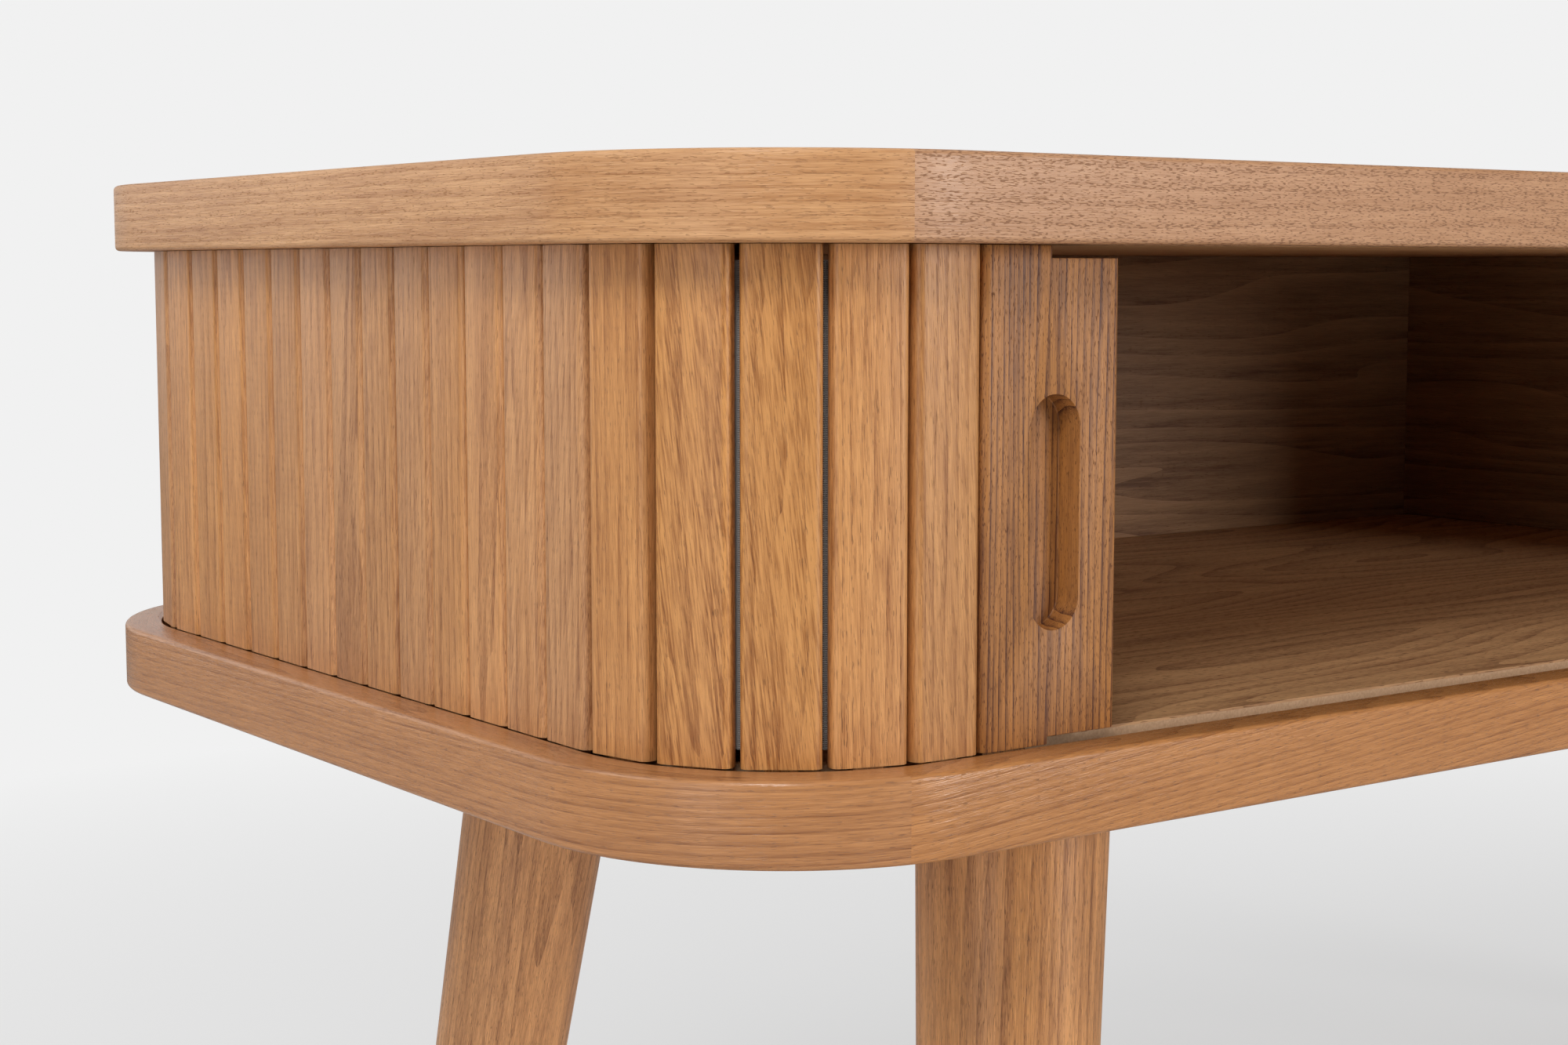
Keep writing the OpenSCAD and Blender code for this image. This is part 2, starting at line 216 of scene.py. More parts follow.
ring_relief = -0.4  # how low the spring wood lies between them
pore_dulling = 0.25  # how much rougher an open pore is than the lacquer


def timber(name, pale, deep, pore, ring_mm=2.4, ring_depth=0.3, ring_sharp=2.5, ring_fade=0.0,
           wander_mm=5.0, wander_long_mm=110, wander_wide_mm=30, streaks=0.8, wild_board=-1.0,
           fibre=1.2, clouds=0.8, pore_long_mm=1.3, pore_wide_mm=0.3, cover=0.36, pore_depth=0.7,
           ridges=0.3, roughness=0.36, board_range=0.16, sawn=0.0, sawn_per_board=0.0, askew=0.0):
    """An ash finish from the colours of its summer wood, spring wood and pores.

    ring_...: the growth rings' width and depth of tone, how sharply they begin, and how much they
    come and go. wander_...: how far they stray, over what length and width. streaks, fibre and
    clouds: the depths of silky streaks, fibres and soft bands. wild_board: the board with the most
    streaks. cover and pore_...: the pores' share, size and darkness. ridges and roughness: the
    relief and dullness of the lacquer. board_range: how much boards differ in tone. sawn: the
    saw's angle to the rings, and sawn_per_board its change from board to board. askew: how far
    the fibres slope.
    """
    material, tree, output = new_material(name)
    grain = add_node(tree, "ShaderNodeAttribute", attribute_name="grain").outputs["Vector"]
    board = add_node(tree, "ShaderNodeAttribute", attribute_name="board").outputs["Fac"]
    in_mm = add_node(tree, "ShaderNodeVectorMath", {0: grain, "Scale": 1000.0}, operation="SCALE")
    along, across, through = add_node(tree, "ShaderNodeSeparateXYZ", {0: in_mm}).outputs
    chance = add_node(tree, "ShaderNodeTexWhiteNoise", {"W": board}, noise_dimensions="1D")
    luck = add_node(tree, "ShaderNodeSeparateXYZ", {0: chance.outputs["Color"]}).outputs

    # Each board's fibres run a little askew, and it was cut from its own place in the tree
    skew = add_node(tree, "ShaderNodeMath", {0: luck[1], 1: 2 * askew, 2: -askew},
                    operation="MULTIPLY_ADD")
    skewed = add_node(tree, "ShaderNodeMath", {0: along, 1: skew, 2: across},
                      operation="MULTIPLY_ADD")
    straight = add_node(tree, "ShaderNodeCombineXYZ", {0: along, 1: skewed, 2: through})
    away = add_node(tree, "ShaderNodeVectorMath", {0: apart_mm, "Scale": board},
                    operation="SCALE")
    place = add_node(tree, "ShaderNodeVectorMath", {0: straight, 1: away}, operation="ADD")

    # Noises drawn out along the fibres, each its own slice, about 0 with a spread of about 0.15
    figure = {}
    for label, long_mm, wide_mm, detail in (
            ("wander", wander_long_mm, wander_wide_mm, 1), ("ripple", 14, 2.5, 1),
            ("fading", 30, 1.5, 1), ("pores", pore_long_mm, pore_wide_mm, 0),
            ("fibres", 7, 0.25, 2), ("flames", 8, 0.5, 1), ("bands", 70, 4, 2)):
        sized = add_node(tree, "ShaderNodeVectorMath",
                         {0: place, 1: (1 / long_mm, 1 / wide_mm, 1 / wide_mm)}, operation="MULTIPLY")
        texture = add_node(tree, "ShaderNodeTexNoise",
                           {"Vector": sized, "W": 2.0 * len(figure), "Scale": 1.0, "Detail": detail},
                           noise_dimensions="4D")
        figure[label] = add_node(tree, "ShaderNodeMath", {0: texture.outputs["Fac"], 1: 0.5},
                                 operation="SUBTRACT")

    # Growth rings: distance across the board, tilted by how it was sawn, and wandering slowly
    tilt = add_node(tree, "ShaderNodeMath", {0: board, 1: sawn_per_board, 2: math.radians(sawn)},
                    operation="MULTIPLY_ADD")
    flat = add_node(tree, "ShaderNodeMath", {0: tilt}, operation="COSINE")
    steep = add_node(tree, "ShaderNodeMath", {0: tilt}, operation="SINE")
    rings = add_node(tree, "ShaderNodeMath", {0: across, 1: flat}, operation="MULTIPLY")
    rings = add_node(tree, "ShaderNodeMath", {0: through, 1: steep, 2: rings},
                     operation="MULTIPLY_ADD")
    rings = add_node(tree, "ShaderNodeMath", {0: figure["wander"], 1: wander_mm, 2: rings},
                     operation="MULTIPLY_ADD")
    rings = add_node(tree, "ShaderNodeMath", {0: figure["ripple"], 1: ripple_mm, 2: rings},
                     operation="MULTIPLY_ADD")
    count = add_node(tree, "ShaderNodeMath", {0: rings, 1: 1 / ring_mm, 2: first_ring},
                     operation="MULTIPLY_ADD")
    phase = add_node(tree, "ShaderNodeMath", {0: count}, operation="FRACT")
    # Spring wood begins sharply and fades into the summer wood
    rest = add_node(tree, "ShaderNodeMath", {0: 1.0, 1: phase}, operation="SUBTRACT")
    early = add_node(tree, "ShaderNodeMath", {0: rest, 1: ring_sharp}, operation="POWER")

    # Pores are open where a noise falls under a limit, which the spring wood raises
    limit = add_node(tree, "ShaderNodeMath", {0: early, 1: spring_cover, 2: cover - half_cover},
                     operation="MULTIPLY_ADD")
    depth_in = add_node(tree, "ShaderNodeMath", {0: limit, 1: figure["pores"]}, operation="SUBTRACT")
    pores = add_node(tree, "ShaderNodeMath", {0: depth_in, 1: pore_edge}, operation="MULTIPLY",
                     use_clamp=True)

    # How deep the tone is: rings, fibres, silky flames on a few boards, and soft bands
    hold = add_node(tree, "ShaderNodeMath", {0: figure["fading"], 1: ring_fade, 2: ring_depth},
                    operation="MULTIPLY_ADD")
    amount = add_node(tree, "ShaderNodeMath",
                      {0: early, 1: hold, 2: middle_tone - ring_depth * ring_middle},
                      operation="MULTIPLY_ADD")
    amount = add_node(tree, "ShaderNodeMath", {0: figure["fibres"], 1: fibre, 2: amount},
                      operation="MULTIPLY_ADD")
    rare = add_node(tree, "ShaderNodeMath", {0: luck[2], 1: rarity}, operation="POWER")
    chosen = add_node(tree, "ShaderNodeMath", {0: board, 1: wild_board, 2: wild_reach},
                      operation="COMPARE")
    wild = add_node(tree, "ShaderNodeMath", {0: rare, 1: chosen}, operation="MAXIMUM")
    flaming = add_node(tree, "ShaderNodeMath", {0: wild, 1: streaks, 2: calm_share * streaks},
                       operation="MULTIPLY_ADD")
    amount = add_node(tree, "ShaderNodeMath", {0: figure["flames"], 1: flaming, 2: amount},
                      operation="MULTIPLY_ADD")
    amount = add_node(tree, "ShaderNodeMath", {0: figure["bands"], 1: clouds, 2: amount},
                      operation="MULTIPLY_ADD")
    tone = add_node(tree, "ShaderNodeMix", {"Factor": amount, 6: linear(pale), 7: linear(deep)},
                    data_type="RGBA").outputs[2]
    gain = add_node(tree, "ShaderNodeMath", {0: luck[0], 1: board_range, 2: 1.0 - board_range / 2},
                    operation="MULTIPLY_ADD")
    warmth = add_node(tree, "ShaderNodeMath", {0: luck[1], 1: warmth_range, 2: least_warmth},
                      operation="MULTIPLY_ADD")
    toned = add_node(tree, "ShaderNodeHueSaturation",
                     {"Saturation": warmth, "Value": gain, "Color": tone})
    dark = add_node(tree, "ShaderNodeMath", {0: pores, 1: pore_depth}, operation="MULTIPLY")
    pored = add_node(tree, "ShaderNodeMix", {"Factor": dark, 6: toned, 7: linear(pore)},
                     data_type="RGBA").outputs[2]

    # The fibres stand a little proud under the lacquer, and the pores are open
    height = add_node(tree, "ShaderNodeMath", {0: figure["fibres"], 1: fibre_relief},
                      operation="MULTIPLY")
    height = add_node(tree, "ShaderNodeMath", {0: height, 1: pores}, operation="SUBTRACT")
    height = add_node(tree, "ShaderNodeMath", {0: early, 1: ring_relief, 2: height},
                      operation="MULTIPLY_ADD")
    bump = add_node(tree, "ShaderNodeBump",
                    {"Height": height, "Strength": ridges, "Distance": 0.2 * MM})
    matt = add_node(tree, "ShaderNodeMath", {0: pores, 1: pore_dulling, 2: roughness},
                    operation="MULTIPLY_ADD")
    shader = add_node(tree, "ShaderNodeBsdfPrincipled",
                      {"Base Color": pored, "Roughness": matt, "Normal": bump, "IOR": 1.5,
                       "Specular IOR Level": 0.45})
    tree.links.new(shader.outputs[0], output.inputs[0])
    return material


def set_grain(piece, grain, board):
    """Writes each corner's place in the grain, and the number of the board."""
    places = piece.data.attributes.new("grain", "FLOAT_VECTOR", "POINT")
    for item, place in zip(places.data, grain):
        item.vector = place
    boards = piece.data.attributes.new("board", "FLOAT", "POINT")
    for item in boards.data:
        item.value = board


smooth_angle = math.radians(38)


def finish_piece(piece, material, body, *replaced):
    """Smooths the rounded faces, gives the piece its body and, if named, a finish, and hides the
    nodes that it replaces.
    """
    piece.data.shade_smooth()
    piece.data.set_sharp_from_angle(angle=smooth_angle)
    if material:
        piece.data.materials.clear()
        piece.data.materials.append(material)
    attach(piece, body)
    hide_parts(*replaced)


# ---------------------------------------------------------------- Panel edging
# Solid ash, 10.3 mm wide, bent or sawn round the corners and glued to the boards. The two side
# pieces go most of the way round the corners and meet the front and back ones at plain butt
# joints. The edging's inner face is the outer wall of the slats' groove.
width = cad_high.x - cad_low.x
depth = cad_high.y - cad_low.y
corner_r = 64 * MM
edge_w = 10.3 * MM
arris_r = 1.2 * MM
inner_ease = 0.35 * MM
seam_angle = math.radians(77.8)
station_degrees = 2
arc_steps = 5
board_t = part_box("top_core")[1].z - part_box("top_core")[0].z
floor_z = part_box("bottom_core")[1].z
ceiling_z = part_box("top_core")[0].z


def corner_centre(x, y):
    """The centre of one of the outline's rounded corners; x and y are -1 or 1."""
    return Vector((x * (width / 2 - corner_r), y * (depth / 2 - corner_r), 0))


def edge_route(kind):
    """Stations along a piece of edging: place on the outline, outward direction, length so far.

    Each piece is two bends with a straight between them. The side's turn as far as the seam, and
    the front's take the rest of the corners.
    """
    rest = math.pi / 2 - seam_angle
    if kind == "side":
        first, second = corner_centre(-1, 1), corner_centre(-1, -1)
        start, turn, straight = math.pi - seam_angle, seam_angle, depth - 2 * corner_r
    else:
        first, second = corner_centre(-1, -1), corner_centre(1, -1)
        start, turn, straight = 1.5 * math.pi - rest, rest, width - 2 * corner_r
    bend = turn * corner_r
    steps = round(math.degrees(turn) / station_degrees)
    stations = []
    for centre, begin, walked in ((first, start, 0), (second, start + turn, bend + straight)):
        for i in range(steps + 1):
            angle = begin + turn * i / steps
            out = Vector((math.cos(angle), math.sin(angle), 0))
            stations.append((centre + out * corner_r, out, walked + bend * i / steps))
    return stations


def arc(centre_x, centre_y, radius, start, end):
    """Points round part of a circle, between two angles in degrees."""
    points = []
    for i in range(arc_steps + 1):
        angle = math.radians(start + (end - start) * i / arc_steps)
        points.append((centre_x + radius * math.cos(angle), centre_y + radius * math.sin(angle)))
    return points


def edge_outline():
    """The edging's section, as distances in from the outer face and up from its underside."""
    inner_in = edge_w - inner_ease
    points = arc(arris_r, arris_r, arris_r, 180, 270)
    points += arc(inner_in, inner_ease, inner_ease, 270, 360)
    points += arc(inner_in, board_t - inner_ease, inner_ease, 0, 90)
    points += arc(arris_r, board_t - arris_r, arris_r, 90, 180)
    return points


def shell_faces(levels, count):
    """The faces of a closed shell over levels of count points each, with both ends closed."""
    faces = []
    for level in range(levels - 1):
        start = level * count
        for i in range(count):
            k = (i + 1) % count
            faces.append((start + i, start + k, start + count + k, start + count + i))
    faces.append(tuple(range(count))[::-1])
    faces.append(tuple((levels - 1) * count + i for i in range(count)))
    return faces


def face_outward(piece):
    """Turns every face of a closed shell outwards, whichever way it was mirrored."""
    shell = bmesh.new()
    shell.from_mesh(piece.data)
    bmesh.ops.recalc_face_normals(shell, faces=shell.faces)
    shell.to_mesh(piece.data)
    shell.free()


def make_edging(node, kind, flip_x, flip_y, low_z, slope, board, material):
    """One piece of edging; slope is how steeply the figure runs across its outer face."""
    outline = edge_outline()
    route = edge_route(kind)
    flip = Vector((flip_x, flip_y, 1))
    vertices, grain = [], []
    for place, out, walked in route:
        for inward, up in outline:
            vertices.append((place - out * inward + Vector((0, 0, low_z + up))) * flip)
            grain.append((walked + slope * up, up - slope * walked, inward))
    piece = new_object("edging_" + node, vertices, shell_faces(len(route), len(outline)))
    set_grain(piece, grain, board)
    face_outward(piece)
    finish_piece(piece, material, "cabinet", node)


# The top's sides are quarter sawn and fine: close straight lines with short pores between them
top_ash = timber("lacquered ash, fine and straight", "#dba672", "#a36a39", "#7c4e2b", ring_mm=2.6,
                 ring_depth=0.25, wander_mm=5.0, wander_long_mm=220, wander_wide_mm=9, fibre=1.3,
                 clouds=1.3, cover=0.34, pore_long_mm=1.4, pore_wide_mm=0.2, pore_depth=0.35,
                 ridges=0.6, board_range=0.0)
# The top's front and back are a pinker, coarser stick: faint wide rings and long dark pores
top_front_ash = timber("lacquered ash, coarse and pink", "#cb9a72", "#a4724a", "#6f4529", ring_mm=4.1,
                       ring_depth=0.1, wander_mm=6.0, fibre=1.0, pore_long_mm=1.4,
                       pore_wide_mm=0.24, cover=0.41, pore_depth=0.6, board_range=0.0)
# The bottom's edging is browner and glossier, with fine rings that cross it at a slight slope
low_ash = timber("lacquered ash, fine and brown", "#c98a4f", "#8b5429", "#5f381e", ring_mm=1.9,
                 ring_depth=0.3, ring_fade=1.2, wander_mm=5.0, wander_long_mm=200, wander_wide_mm=8,
                 fibre=1.2, clouds=0.6, pore_long_mm=2.2, pore_wide_mm=0.16, cover=0.33,
                 pore_depth=0.5, ridges=0.4, roughness=0.24, board_range=0.05)
low_side_slope = 0.02
low_front_slope = 0.09
underside_z = floor_z - board_t
edgings = (("left", "side", 1, 1), ("right", "side", -1, 1), ("front", "front", 1, 1),
           ("back", "front", 1, -1))
for board, (side, kind, flip_x, flip_y) in enumerate(edgings, 1):
    finish = top_ash if kind == "side" else top_front_ash
    make_edging("top_edge_" + side, kind, flip_x, flip_y, ceiling_z, 0.0, board, finish)
for board, (side, kind, flip_x, flip_y) in enumerate(edgings, 11):
    slope = low_side_slope if kind == "side" else low_front_slope
    make_edging("bottom_edge_" + side, kind, flip_x, flip_y, underside_z, slope, board, low_ash)


# ---------------------------------------------------------------- Panel boards
# Fibreboard faced with ash veneer on both sides, rebated round its edge to make the groove: the
# rebate's wall and floor show the bare fibreboard, paler and plain.
groove_w = 9.5 * MM
groove_depth = 6 * MM
veneer_t = 0.6 * MM
corner_steps = 45


def rounded_outline(inset):
    """The panels' outline, inset, anticlockwise."""
    points = []
    for x, y, start in ((1, -1, 270), (1, 1, 0), (-1, 1, 90), (-1, -1, 180)):
        for i in range(corner_steps + 1):
            angle = math.radians(start + 90 * i / corner_steps)
            out = Vector((math.cos(angle), math.sin(angle), 0))
            points.append(corner_centre(x, y) + out * (corner_r - inset))
    return points


def grain_along(piece, order):
    """Each corner's place in the grain, by the axes along the fibres, across them and through."""
    axes = ["xyz".index(axis) for axis in order]
    return [[vertex.co[i] for i in axes] for vertex in piece.data.vertices]


def make_board(node, outer_z, inner_z, board, veneer, bare):
    """A rebated board from its plain face at outer_z to its grooved face at inner_z."""
    inward = 1 if inner_z > outer_z else -1
    groove_z = inner_z - inward * groove_depth
    inner_edge = edge_w + groove_w
    levels = ((edge_w, outer_z), (edge_w, groove_z), (inner_edge, groove_z),
              (inner_edge, inner_z - inward * veneer_t), (inner_edge, inner_z))
    vertices = []
    for inset, z in levels:
        vertices += [p + Vector((0, 0, z)) for p in rounded_outline(inset)]
    count = len(vertices) // len(levels)
    piece = new_object("board_" + node, vertices, shell_faces(len(levels), count))
    # The bands round the rebate are bare, and the veneer's own edge and both faces aren't
    bare_faces = (len(levels) - 2) * count
    for face in piece.data.polygons:
        face.material_index = 1 if face.index < bare_faces else 0
    set_grain(piece, grain_along(piece, "xyz"), board)
    face_outward(piece)
    piece.data.materials.append(veneer)
    piece.data.materials.append(bare)
    finish_piece(piece, None, "cabinet", node)


# The top's face is crown cut veneer, with broad pale arches and few open pores
top_veneer = timber("ash veneer, crown cut", "#d6a36c", "#9c6b3e", "#5e3b21", ring_mm=5.0,
                    ring_depth=0.3, ring_fade=1.0, wander_mm=40.0, wander_long_mm=900,
                    wander_wide_mm=45, pore_long_mm=3.0, pore_depth=0.5, roughness=0.52,
                    board_range=0.0, sawn=60)
# The floor's is sawn nearly flat to the rings, which spreads them into wide wandering figure
floor_veneer = timber("ash veneer, flat sawn", "#d3a068", "#8d5c33", "#5e3b21", ring_mm=3.6,
                      ring_depth=0.42, ring_fade=1.0, wander_mm=70.0, wander_long_mm=330,
                      wander_wide_mm=60, fibre=1.2, clouds=1.2, pore_long_mm=3.0, roughness=0.52,
                      board_range=0.0, sawn=82)
# Fibreboard cut with a router: pale, dull and speckled with fibres about half a millimetre long
specks_per_metre = 1800.0
fibreboard, tree, output = new_material("cut fibreboard")
where = add_node(tree, "ShaderNodeTexCoord").outputs["Object"]
specks = add_node(tree, "ShaderNodeTexNoise",
                  {"Vector": where, "Scale": specks_per_metre, "Detail": 3.0})
dust = add_node(tree, "ShaderNodeMix",
                {"Factor": specks, 6: linear("#d9b592"), 7: linear("#a88360")}, data_type="RGBA")
rough = add_node(tree, "ShaderNodeBump", {"Height": specks, "Strength": 0.4, "Distance": 0.2 * MM})
shader = add_node(tree, "ShaderNodeBsdfPrincipled",
                  {"Base Color": dust.outputs[2], "Roughness": 0.85, "Normal": rough})
tree.links.new(shader.outputs[0], output.inputs[0])
make_board("top_core", ceiling_z + board_t, ceiling_z, 21, top_veneer, fibreboard)
make_board("bottom_core", underside_z, floor_z, 22.4, floor_veneer, fibreboard)


# ---------------------------------------------------------------- Inner walls
# Four veneered boards with the grain level, glued between the panels, which close the compartment
# and the niche. The outer ones stand well inside the groove, so that the slats pass behind them.
wall_ease = 0.4 * MM
ease_segments = 3


def make_block(name, node, ease, order, board, material):
    """A board in a node's place with eased edges; order gives its grain's axes."""
    low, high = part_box(node)
    size = high - low
    shape = bmesh.new()
    bmesh.ops.create_cube(shape, size=1.0)
    for vertex in shape.verts:
        vertex.co = low + Vector([(vertex.co[i] + 0.5) * size[i] for i in range(3)])
    bmesh.ops.bevel(shape, geom=shape.edges[:], offset=ease, segments=ease_segments, profile=0.5,
                    affect="EDGES")
    piece = new_object(name, [], [])
    shape.to_mesh(piece.data)
    shape.free()
    set_grain(piece, grain_along(piece, order), board)
    finish_piece(piece, material, "cabinet", node)
    return piece


# The walls' veneer has soft wide rings in long waves; its darker, browner colours are painted shade
# for the inside of the compartment and the niche
wall_veneer_with_painted_shade = timber("ash veneer, long grain, painted shade", "#b3865a", "#70492a", "#553721", ring_mm=11.0,
                     ring_depth=0.4, ring_sharp=1.0, ring_fade=1.2, wander_mm=50.0,
                     wander_long_mm=240, wander_wide_mm=26, fibre=0.9, clouds=1.0, cover=0.3,
                     pore_long_mm=3.0, pore_depth=0.35, roughness=0.52, board_range=0.1)
for node, order, board in (("inner_wall_left", "yzx", 31), ("inner_wall_right", "yzx", 32),
                           ("middle_wall", "yzx", 34), ("inner_wall_back", "xzy", 33.1)):
    wall = make_block("wall_" + node, node, wall_ease, order, board, wall_veneer_with_painted_shade)


# ---------------------------------------------------------------- Slats
# Seventy-four ash slats 5 mm thick, with eased front edges and a tongue at both ends, glued side by
# side to a canvas. Each was cut from its own stick, so tone and figure change from one to the next.
# On the left they are the door, drawn back round the corner, and on the right they are fixed.
slat_pitch = 17.3 * MM
slat_gap = 0.5 * MM
slat_t = 5 * MM
slat_ease = 1.9 * MM
face_set = 0.1 * MM
shoulder_gap = 0.15 * MM
tongue_w = 7 * MM
tongue_t = 3.2 * MM
tongue_set = 0.4 * MM
first_hinge = 12.35 * MM  # the first slat's right edge, from the left end of the straight
corner_slats = 8
side_slats = 10
door_slats = 47
halvings = 40
hinge_inset = edge_w + face_set + slat_t
hinge_r = corner_r - hinge_inset
hinge_arc = hinge_r * math.pi / 2
side_run = depth - 2 * corner_r


def hinge_point(s):
    """A point of the line of the slats' backs, s from the left end of the front's straight."""
    left, front = -width / 2, -depth / 2
    front_turn = -s / hinge_r
    back_turn = (-s - hinge_arc - side_run) / hinge_r
    if s >= 0:
        return Vector((left + corner_r + s, front + hinge_inset, 0))
    if front_turn <= math.pi / 2:
        return Vector((left + corner_r - hinge_r * math.sin(front_turn),
                       front + corner_r - hinge_r * math.cos(front_turn), 0))
    if back_turn <= 0:
        return Vector((left + hinge_inset, front + corner_r - s - hinge_arc, 0))
    if back_turn <= math.pi / 2:
        return Vector((left + corner_r - hinge_r * math.cos(back_turn),
                       -front - corner_r + hinge_r * math.sin(back_turn), 0))
    return Vector((left + corner_r - s - 2 * hinge_arc - side_run, -front - hinge_inset, 0))


def next_hinge(s):
    """The place one slat further back than s, in a straight line, found by halving."""
    near, far = s - 0.5 * slat_pitch, s - 1.5 * slat_pitch
    for _ in range(halvings):
        half = (near + far) / 2
        if (hinge_point(half) - hinge_point(s)).length > slat_pitch:
            far = half
        else:
            near = half
    return (near + far) / 2


places = [first_hinge]
for _ in range(door_slats):
    places.append(next_hinge(places[-1]))
hinges = [hinge_point(s) for s in places]
ease_points = 5
weld = 0.01 * MM


def slat_tree():
    """Geometry nodes that put one eased, tongued slat on each point."""
    tree = bpy.data.node_groups.new("slats on points", "GeometryNodeTree")
    slat_low, slat_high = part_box("front_corner_slat_1")
    sizes = (("Width", slat_pitch - slat_gap), ("Thickness", slat_t), ("Easing", slat_ease),
             ("Low", floor_z + shoulder_gap), ("High", ceiling_z - shoulder_gap),
             ("Tongue width", tongue_w), ("Tongue thickness", tongue_t), ("Tongue set", tongue_set),
             ("Tongue low", slat_low.z), ("Tongue high", slat_high.z))
    tree.interface.new_socket("Points", in_out="INPUT", socket_type="NodeSocketGeometry")
    for label, value in sizes:
        socket = tree.interface.new_socket(label, in_out="INPUT", socket_type="NodeSocketFloat")
        socket.default_value = value
    tree.interface.new_socket("Finish", in_out="INPUT", socket_type="NodeSocketMaterial")
    tree.interface.new_socket("Slats", in_out="OUTPUT", socket_type="NodeSocketGeometry")
    given = add_node(tree, "NodeGroupInput").outputs
    result = add_node(tree, "NodeGroupOutput")

    def bar(wide, thick, back, low, high, ease):
        """An upright bar with its back at y = -back."""
        outline = add_node(tree, "GeometryNodeCurvePrimitiveQuadrilateral",
                           {"Width": wide, "Height": thick})
        if ease:
            outline = add_node(tree, "GeometryNodeFilletCurve",
                               {0: outline, "Count": ease_points, "Radius": ease}, mode="POLY")
        filled = add_node(tree, "GeometryNodeFillCurve", {0: outline}, mode="NGONS")
        tall = add_node(tree, "ShaderNodeMath", {0: high, 1: low}, operation="SUBTRACT")
        up = add_node(tree, "ShaderNodeCombineXYZ", {2: tall})
        raised = add_node(tree, "GeometryNodeExtrudeMesh",
                          {"Mesh": filled, "Offset": up, "Offset Scale": 1.0, "Individual": False})
        under = add_node(tree, "GeometryNodeFlipFaces", {0: filled})
        both = add_node(tree, "GeometryNodeJoinGeometry")
        tree.links.new(raised.outputs[0], both.inputs[0])
        tree.links.new(under.outputs[0], both.inputs[0])
        closed = add_node(tree, "GeometryNodeMergeByDistance", {"Geometry": both, "Distance": weld})
        half = add_node(tree, "ShaderNodeMath", {0: thick, 1: -0.5}, operation="MULTIPLY")
        middle_y = add_node(tree, "ShaderNodeMath", {0: half, 1: back}, operation="SUBTRACT")
        offset = add_node(tree, "ShaderNodeCombineXYZ", {1: middle_y, 2: low})
        return add_node(tree, "GeometryNodeTransform", {"Geometry": closed, "Translation": offset})

    body = bar(given["Width"], given["Thickness"], 0.0, given["Low"], given["High"], given["Easing"])
    tongue = bar(given["Tongue width"], given["Tongue thickness"], given["Tongue set"],
                 given["Tongue low"], given["Tongue high"], None)
    whole = add_node(tree, "GeometryNodeJoinGeometry")
    tree.links.new(body.outputs[0], whole.inputs[0])
    tree.links.new(tongue.outputs[0], whole.inputs[0])
    # The fibres run up the slat, so its grain is along z, across x and through y
    position = add_node(tree, "GeometryNodeInputPosition")
    x, y, z = add_node(tree, "ShaderNodeSeparateXYZ", {0: position}).outputs
    lengthwise = add_node(tree, "ShaderNodeCombineXYZ", {0: z, 1: x, 2: y})
    grained = add_node(tree, "GeometryNodeStoreNamedAttribute",
                       {"Geometry": whole, "Name": "grain", "Value": lengthwise},
                       data_type="FLOAT_VECTOR", domain="POINT")
    turn = add_node(tree, "GeometryNodeInputNamedAttribute", {"Name": "turn"}, data_type="FLOAT")
    about = add_node(tree, "ShaderNodeCombineXYZ", {2: turn})
    copies = add_node(tree, "GeometryNodeInstanceOnPoints",
                      {"Points": given["Points"], "Instance": grained, "Rotation": about})
    real = add_node(tree, "GeometryNodeRealizeInstances", {0: copies})
    dressed = add_node(tree, "GeometryNodeSetMaterial", {0: real, "Material": given["Finish"]})
    tree.links.new(dressed.outputs[0], result.inputs[0])
    return tree


slats_on_points = slat_tree()
finish_input = slats_on_points.interface.items_tree["Finish"].identifier
# Sticks sawn at every angle to the rings, from plain to silky flamed, a little askew to the fibres
slat_ash = timber("lacquered ash, slat stock", "#d79a5c", "#925829", "#5f391d", ring_mm=2.4,
                  ring_depth=0.4, ring_fade=1.5, wander_mm=6.0, wander_long_mm=240, wander_wide_mm=8,
                  streaks=1.8, wild_board=103.5, fibre=1.9, clouds=1.0, cover=0.32,
                  pore_long_mm=2.2, pore_wide_mm=0.18, pore_depth=0.6, board_range=0.18,
                  sawn_per_board=2.399, askew=0.13)


def make_slats(name, first, last, body, node, mirrored=False):
    """The slats from one number to another, counted from the lead slat, or their mirror image."""
    flip = -1 if mirrored else 1
    seats, turns, boards = [], [], []
    for i in range(first, last + 1):
        near, far = hinges[i - 1], hinges[i]
        back = near - far
        seats.append(((near.x + far.x) / 2 * flip, (near.y + far.y) / 2, 0))
        turns.append(math.atan2(back.y * flip, back.x))
        boards.append(100 + i + (0.5 if mirrored else 0))
    points = new_object(name + "_points", seats, [])
    for label, values in (("turn", turns), ("board", boards)):
        attribute = points.data.attributes.new(label, "FLOAT", "POINT")
        for item, value in zip(attribute.data, values):
            item.value = value
    modifier = points.modifiers.new("slats", "NODES")
    modifier.node_group = slats_on_points
    modifier[finish_input] = slat_ash
    depsgraph = bpy.context.evaluated_depsgraph_get()
    depsgraph.update()
    mesh = bpy.data.meshes.new_from_object(points.evaluated_get(depsgraph))
    piece = bpy.data.objects.new(name, mesh)
    bpy.context.scene.collection.objects.link(piece)
    bpy.data.objects.remove(points)
    finish_piece(piece, slat_ash, body, node)


